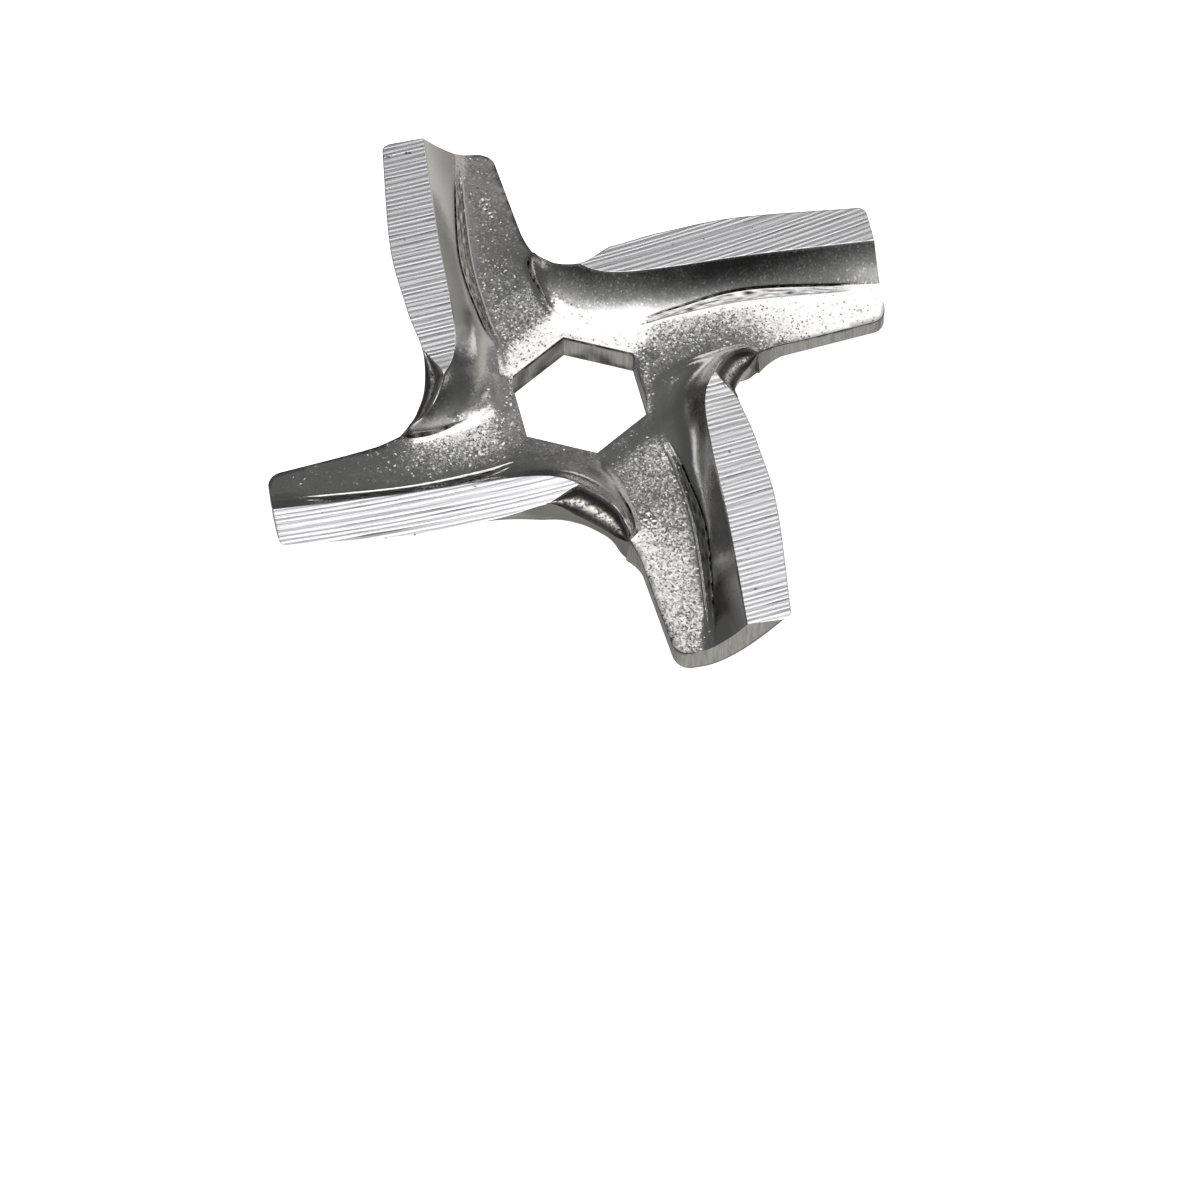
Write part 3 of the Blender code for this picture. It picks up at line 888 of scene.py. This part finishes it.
sheared = {
    "colour": "#c4c1bb",
    "streak": "#e4e2dd",
    "pits": "#3a3732",
    # darkening colour: for painted shade on the hexagon's wall and the sheared edge, for blotches, and for
    # the darker rim of the plain edge
    "grime": "#1b1916",
    "lineFineness": (7, 7, 0.6),  # per mm; the lines stand upright
    "lineDepth": 0.02,  # mm
    "pitFineness": 5.0,
    "ledgeFineness": 6.0,
    "tearLift": 1.3,  # the torn ledges face up
    "roughness": 0.36,
}


def shearedSteel():
    # sheared steel: a dull grey drawn down in fine upright lines, torn bright where it broke
    material, tree, shader, place = newMaterial("shearedSteel")
    upright = addNode(tree, "ShaderNodeMapping", {}, {"Scale": sheared["lineFineness"]}, {"Vector": place})
    lines = addNode(tree, "ShaderNodeTexNoise", {}, {"Scale": 1.0, "Detail": 3, "Roughness": 0.6},
                    {"Vector": upright.outputs[0]}).outputs["Fac"]
    spots = addNode(tree, "ShaderNodeTexNoise", {}, {"Scale": sheared["pitFineness"], "Detail": 3},
                    {"Vector": place}).outputs["Fac"]
    tear = readMark(tree, "tear")
    plain = blend(tree, spread(tree, lines, 0.35, 0.65, 0.0, 0.35), sheared["colour"], sheared["pits"])
    torn = blend(tree, spread(tree, spots, 0.34, 0.48, 0.0, 1.0), sheared["pits"], sheared["streak"])
    both = blend(tree, tear, plain, torn)
    # darkened by the point mark: painted shade under the hexagon's rim, towards its back and on the sheared
    # edge at the root; darker under the upper rim of the plain edge; random blotches on the hexagon's wall
    tree.links.new(blend(tree, readMark(tree, "grime"), both, sheared["grime"]), shader.inputs["Base Color"])
    shader.inputs["Roughness"].default_value = sheared["roughness"]
    bump = addNode(tree, "ShaderNodeBump", {}, {"Strength": 1.0, "Distance": sheared["lineDepth"] * mm},
                   {"Height": lines}).outputs[0]
    ledges = addNode(tree, "ShaderNodeTexVoronoi", {}, {"Scale": sheared["ledgeFineness"]},
                     {"Vector": place}).outputs["Color"]
    up = addNode(tree, "ShaderNodeVectorMath", {"operation": "ADD"},
                 {1: (-0.5, -0.5, sheared["tearLift"] - 0.5)}, {0: ledges}).outputs[0]
    lean = addNode(tree, "ShaderNodeVectorMath", {"operation": "SCALE"}, {},
                   {0: up, "Scale": tear}).outputs[0]
    facing = addNode(tree, "ShaderNodeVectorMath", {"operation": "ADD"}, {}, {0: bump, 1: lean}).outputs[0]
    unit = addNode(tree, "ShaderNodeVectorMath", {"operation": "NORMALIZE"}, {}, {0: facing}).outputs[0]
    tree.links.new(unit, shader.inputs["Normal"])
    return material


underside = {
    # darker than the top's sheet: painted shade on the underside
    "colour": "#86837d",
    "roughness": 0.24,
    "scratchTurn": 0.6,  # radians
    "scratchFineness": (0.3, 6, 1),  # per mm
    "scratchDepth": 0.006,  # mm
}


def backSteel():
    # the back: the same sheet, rubbed smooth on the die, with long faint scratches; its darker colour is
    # painted shade on the underside
    material, tree, shader, place = newMaterial("diePressedSteel")
    shader.inputs["Base Color"].default_value = linearFromHex(underside["colour"])
    shader.inputs["Roughness"].default_value = underside["roughness"]
    stretched = addNode(tree, "ShaderNodeMapping", {},
                        {"Rotation": (0, 0, underside["scratchTurn"]), "Scale": underside["scratchFineness"]},
                        {"Vector": place})
    marks = addNode(tree, "ShaderNodeTexNoise", {}, {"Scale": 1.0, "Detail": 4},
                    {"Vector": stretched.outputs[0]})
    bump = addNode(tree, "ShaderNodeBump", {}, {"Strength": 1.0, "Distance": underside["scratchDepth"] * mm},
                   {"Height": marks.outputs["Fac"]})
    tree.links.new(bump.outputs[0], shader.inputs["Normal"])
    return material


knifePiece = knifeObject(buildKnife(), [pickledSteel(), groundSteel(), shearedSteel(), backSteel()])
print("triangles", sum(len(p.vertices) - 2 for p in knifePiece.data.polygons))

print("stage and light")
stage = {
    "floorRadius": 1.5,  # metres, as the drop
    "floorDrop": 0.00005,
    "floorColour": "#ffffff",
    "floorRoughness": 0.9,
    "floorGlow": 1.0,
}


def makeStage():
    # a white paper sweep, lit through so that it stays even
    data = bpy.data.meshes.new("floor")
    r = stage["floorRadius"]
    sides = 64
    turns = [2 * math.pi * k / sides for k in range(sides)]
    rim = [(r * math.cos(turn), r * math.sin(turn), 0) for turn in turns]
    data.from_pydata(rim, [], [tuple(range(sides))])
    floor = bpy.data.objects.new("floor", data)
    floor.location.z = -stage["floorDrop"]
    bpy.context.scene.collection.objects.link(floor)
    material = bpy.data.materials.new("paperSweep")
    material.use_nodes = True
    shader = material.node_tree.nodes["Principled BSDF"]
    shader.inputs["Base Color"].default_value = linearFromHex(stage["floorColour"])
    shader.inputs["Roughness"].default_value = stage["floorRoughness"]
    shader.inputs["Emission Color"].default_value = linearFromHex(stage["floorColour"])
    shader.inputs["Emission Strength"].default_value = stage["floorGlow"]
    data.materials.append(material)
    floor.visible_glossy = False


# a height runs from -1, straight down, to 1, straight up, and has the light that comes from it
studio = {
    "behind": (0.215, 0.977, 0.0),  # from the camera over the knife
    "right": (0.977, -0.215, 0.0),
    "softbox": 2.0,
    "front": [(-1.0, 0.42), (-0.6, 0.32), (-0.35, 0.03), (-0.1, 0.008), (0.15, 0.012), (0.35, 0.06),
              (0.5, 0.13), (0.64, 0.2), (0.707, 0.3), (0.8, 0.5), (0.866, 0.7), (0.94, 0.9), (1.0, 1.0)],
    "back": [(-1.0, 0.2), (-0.3, 0.05), (0.3, 0.06), (0.6, 0.08), (0.8, 0.075), (0.848, 0.36), (0.87, 0.85),
             (1.0, 1.0)],
    "frontToBack": (-0.5, 0.05),  # where the one goes over into the other
    "edgeBow": -0.45,  # the softbox's rear edge stands higher at both sides
    "edgeLean": 0.11,  # and a little lower at the right
    "panel": 0.55,
    "panelColour": "#f5f2ec",
    "panelTowards": (0.79, 0.61, 0.0),
    "panelEdge": (0.80, 0.96),  # cosines of the angles where it begins and is full
    "panelHeights": [(-1.0, 0.6), (-0.6, 1.15), (-0.26, 1.1), (0.0, 0.75), (0.17, 0.5), (0.45, 1.1),
                     (0.6, 1.0), (0.7, 0.35), (0.8, 0.05)],
}


def lightByHeight(tree, height, stops):
    # a smooth ramp of grey over the height of a direction
    node = addNode(tree, "ShaderNodeValToRGB", {}, {}, {"Fac": spread(tree, height, -1.0, 1.0, 0.0, 1.0)})
    ramp = node.color_ramp
    while len(ramp.elements) < len(stops):
        ramp.elements.new(0.5)
    for element, (z, value) in zip(ramp.elements, stops):
        element.position = (z + 1) / 2
        element.color = (value, value, value, 1.0)
    return node.outputs["Color"]


def makeWorld():
    # a big softbox overhead with a sharp rear edge, a dim room around it, a pale panel at the right
    world = bpy.data.worlds.new("studio")
    bpy.context.scene.world = world
    world.use_nodes = True
    tree = world.node_tree
    way = addNode(tree, "ShaderNodeTexCoord").outputs["Generated"]
    height = addNode(tree, "ShaderNodeSeparateXYZ", {}, {}, {0: way}).outputs["Z"]

    def towards(direction, source):
        return addNode(tree, "ShaderNodeVectorMath", {"operation": "DOT_PRODUCT"}, {1: direction},
                       {0: source}).outputs["Value"]

    share = spread(tree, towards(studio["behind"], way), *studio["frontToBack"], 0.0, 1.0)
    across = towards(studio["right"], way)
    square = addNode(tree, "ShaderNodeMath", {"operation": "MULTIPLY"}, {}, {0: across, 1: across}).outputs[0]
    bowed = addNode(tree, "ShaderNodeMath", {"operation": "MULTIPLY_ADD"}, {1: studio["edgeBow"]},
                    {0: square, 2: height}).outputs[0]
    skewed = addNode(tree, "ShaderNodeMath", {"operation": "MULTIPLY_ADD"}, {1: studio["edgeLean"]},
                     {0: across, 2: bowed}).outputs[0]
    grey = blend(tree, share, lightByHeight(tree, height, studio["front"]),
                 lightByHeight(tree, skewed, studio["back"]))
    room = addNode(tree, "ShaderNodeVectorMath", {"operation": "SCALE"}, {"Scale": studio["softbox"]},
                   {0: grey}).outputs[0]
    level = addNode(tree, "ShaderNodeVectorMath", {"operation": "MULTIPLY"}, {1: (1, 1, 0)},
                    {0: way}).outputs[0]
    aside = addNode(tree, "ShaderNodeVectorMath", {"operation": "NORMALIZE"}, {}, {0: level}).outputs[0]
    near = spread(tree, towards(studio["panelTowards"], aside), *studio["panelEdge"], 0.0, studio["panel"])
    panel = addNode(tree, "ShaderNodeMath", {"operation": "MULTIPLY"}, {},
                    {0: near, 1: lightByHeight(tree, height, studio["panelHeights"])}).outputs[0]
    tint = addNode(tree, "ShaderNodeVectorMath", {"operation": "SCALE"},
                   {0: linearFromHex(studio["panelColour"])[:3]}, {"Scale": panel}).outputs[0]
    total = addNode(tree, "ShaderNodeVectorMath", {"operation": "ADD"}, {}, {0: room, 1: tint}).outputs[0]
    tree.links.new(total, tree.nodes["Background"].inputs["Color"])


makeStage()
makeWorld()
bpy.context.scene.view_settings.view_transform = "Standard"

print("done")
